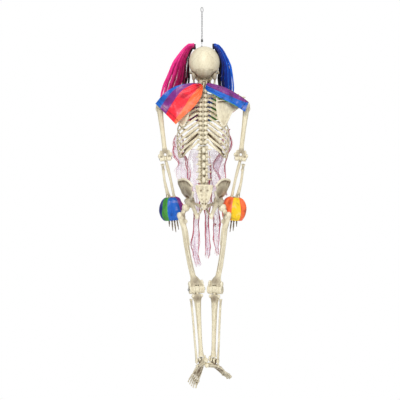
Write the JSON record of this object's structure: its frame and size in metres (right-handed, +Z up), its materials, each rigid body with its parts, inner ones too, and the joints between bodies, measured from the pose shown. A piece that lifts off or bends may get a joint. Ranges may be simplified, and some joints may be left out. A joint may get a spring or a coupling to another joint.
{
  "type": "human skeleton model",
  "caption": "Hanging posable plastic skeleton on a wire hanger, with jointed jaw, head, arms and legs, bunches of coloured hair, rainbow satin cape and cuffs, and torn gauze strips.",
  "frame": {"origin": "the point that hangs on a hook: the inside top of the hanger eye", "axes": "+Z up, +Y the way the face looks, +X the skeleton's right-hand side"},
  "size_m": [0.2507, 0.1302, 1.0149],
  "materials": {
    "bone": "moulded bone-coloured plastic with a brown wash in the hollows",
    "wire": "bare steel wire",
    "sleeve": "dark blackened sleeve",
    "screw": "plain zinc-plated steel",
    "hair_pink": "synthetic hair, magenta with black strands",
    "hair_blue": "synthetic hair, blue with navy strands",
    "hair_band": "thin black elastic",
    "satin": "rainbow printed polyester satin",
    "gauze": "torn pale pink gauze with crimson edges"
  },
  "bodies": {
    "hanger": {"hanger_wire": "wire", "swivel_sleeve": "sleeve"},
    "head": {"crown_pin": "screw", "skull": "bone", "jaw_pin": "screw", "hair_tie_left": "hair_band", "hair_tie_right": "hair_band", "pigtail_left": "hair_pink", "pigtail_right": "hair_blue"},
    "jaw": {"jaw": "bone"},
    "torso": {"cervical_spine": "bone", "thoracic_spine": "bone", "ribs_left": "bone", "ribs_right": "bone", "lumbar_spine": "bone", "sacrum": "bone", "shoulder_blade_left": "bone", "shoulder_blade_right": "bone", "collar_bone_left": "bone", "collar_bone_right": "bone", "hip_bone_left": "bone", "hip_bone_right": "bone", "cape_wing_left": "satin", "cape_wing_right": "satin", "cape_front": "satin", "gauze_left": "gauze", "gauze_right": "gauze", "gauze_tail_left": "gauze", "gauze_tail_middle": "gauze", "gauze_tail_right": "gauze"},
    "shoulder_left": {"shoulder_swivel_left": "bone"},
    "upper_arm_left": {"humerus_left": "bone", "elbow_pin_left": "screw"},
    "forearm_left": {"ulna_left": "bone", "radius_left": "bone"},
    "hand_left": {"hand_left": "bone", "cuff_left": "satin"},
    "hip_left": {"hip_swivel_left": "bone"},
    "thigh_left": {"femur_left": "bone", "kneecap_left": "bone", "knee_pin_left": "screw"},
    "shin_left": {"tibia_left": "bone", "fibula_left": "bone", "ankle_knuckle_left": "screw"},
    "foot_left": {"foot_left": "bone"},
    "shoulder_right": {"shoulder_swivel_right": "bone"},
    "upper_arm_right": {"humerus_right": "bone", "elbow_pin_right": "screw"},
    "forearm_right": {"ulna_right": "bone", "radius_right": "bone"},
    "hand_right": {"hand_right": "bone", "cuff_right": "satin"},
    "hip_right": {"hip_swivel_right": "bone"},
    "thigh_right": {"femur_right": "bone", "kneecap_right": "bone", "knee_pin_right": "screw"},
    "shin_right": {"tibia_right": "bone", "fibula_right": "bone", "ankle_knuckle_right": "screw"},
    "foot_right": {"foot_right": "bone"}
  },
  "joints": [
    {"name": "hanger_swivel", "type": "hinge", "parent": "hanger", "child": "head", "pos_m": [0, 0, -0.0905], "axis": [0, 0, 1], "continuous": true},
    {"name": "jaw_hinge", "type": "hinge", "parent": "head", "child": "jaw", "pos_m": [0.006, 0.004, -0.178], "axis": [-1, 0, 0], "range_deg": [0, 18]},
    {"name": "head_turn", "type": "hinge", "parent": "head", "child": "torso", "pos_m": [0.006, -0.009, -0.19], "axis": [0, 0, 1], "range_deg": [-70, 70], "deforming": ["pigtail_left", "pigtail_right"]},
    {"name": "shoulder_swing_left", "type": "hinge", "parent": "torso", "child": "shoulder_left", "pos_m": [-0.11, -0.018, -0.26], "axis": [1, 0, 0], "range_deg": [-35, 140], "deforming": ["cape_front"]},
    {"name": "shoulder_raise_left", "type": "hinge", "parent": "shoulder_left", "child": "upper_arm_left", "pos_m": [-0.11, -0.018, -0.26], "axis": [0, 0.9945, 0.1045], "range_deg": [0, 80], "deforming": ["cape_wing_left"]},
    {"name": "elbow_left", "type": "hinge", "parent": "upper_arm_left", "child": "forearm_left", "pos_m": [-0.09652, -0.00337, -0.39919], "axis": [0.9954, -0.01, 0.0953], "range_deg": [-8, 84]},
    {"name": "wrist_left", "type": "hinge", "parent": "forearm_left", "child": "hand_left", "pos_m": [-0.08143, 0.03528, -0.51079], "axis": [0.9954, -0.01, 0.0953], "range_deg": [-25, 40], "deforming": ["cuff_left"]},
    {"name": "hip_swing_left", "type": "hinge", "parent": "torso", "child": "hip_left", "pos_m": [-0.0429, 0, -0.529], "axis": [1, 0, 0], "range_deg": [-10, 70], "deforming": ["gauze_tail_left", "gauze_left", "gauze_tail_middle"]},
    {"name": "hip_spread_left", "type": "hinge", "parent": "hip_left", "child": "thigh_left", "pos_m": [-0.0429, 0, -0.529], "axis": [-0.2419, 0.9703, 0], "range_deg": [0, 25]},
    {"name": "knee_left", "type": "hinge", "parent": "thigh_left", "child": "shin_left", "pos_m": [-0.01449, 0.00708, -0.74553], "axis": [-0.9683, -0.2414, -0.0645], "range_deg": [0, 90]},
    {"name": "ankle_left", "type": "hinge", "parent": "shin_left", "child": "foot_left", "pos_m": [-0.00266, 0.01003, -0.93414], "axis": [0.9592, 0.2751, 0.0645], "range_deg": [-15, 6]},
    {"name": "shoulder_swing_right", "type": "hinge", "parent": "torso", "child": "shoulder_right", "pos_m": [0.1152, -0.018, -0.26], "axis": [1, 0, 0], "range_deg": [-35, 140]},
    {"name": "shoulder_raise_right", "type": "hinge", "parent": "shoulder_right", "child": "upper_arm_right", "pos_m": [0.1152, -0.018, -0.26], "axis": [0, -0.9945, -0.1045], "range_deg": [0, 80], "deforming": ["cape_wing_right"]},
    {"name": "elbow_right", "type": "hinge", "parent": "upper_arm_right", "child": "forearm_right", "pos_m": [0.10172, -0.00337, -0.39919], "axis": [0.9954, 0.01, -0.0953], "range_deg": [-8, 84]},
    {"name": "wrist_right", "type": "hinge", "parent": "forearm_right", "child": "hand_right", "pos_m": [0.08663, 0.03528, -0.51079], "axis": [0.9954, 0.01, -0.0953], "range_deg": [-25, 40], "deforming": ["cuff_right"]},
    {"name": "hip_swing_right", "type": "hinge", "parent": "torso", "child": "hip_right", "pos_m": [0.0541, 0, -0.529], "axis": [1, 0, 0], "range_deg": [-10, 70], "deforming": ["gauze_tail_right", "gauze_right"]},
    {"name": "hip_spread_right", "type": "hinge", "parent": "hip_right", "child": "thigh_right", "pos_m": [0.0541, 0, -0.529], "axis": [-0.342, -0.9397, 0], "range_deg": [0, 25]},
    {"name": "knee_right", "type": "hinge", "parent": "thigh_right", "child": "shin_right", "pos_m": [0.03513, 0.0069, -0.74657], "axis": [-0.9395, 0.3419, 0.0227], "range_deg": [0, 90]},
    {"name": "ankle_right", "type": "hinge", "parent": "shin_right", "child": "foot_right", "pos_m": [0.03111, 0.00837, -0.93552], "axis": [0.8088, -0.5877, -0.0218], "range_deg": [-5, 22]}
  ]
}
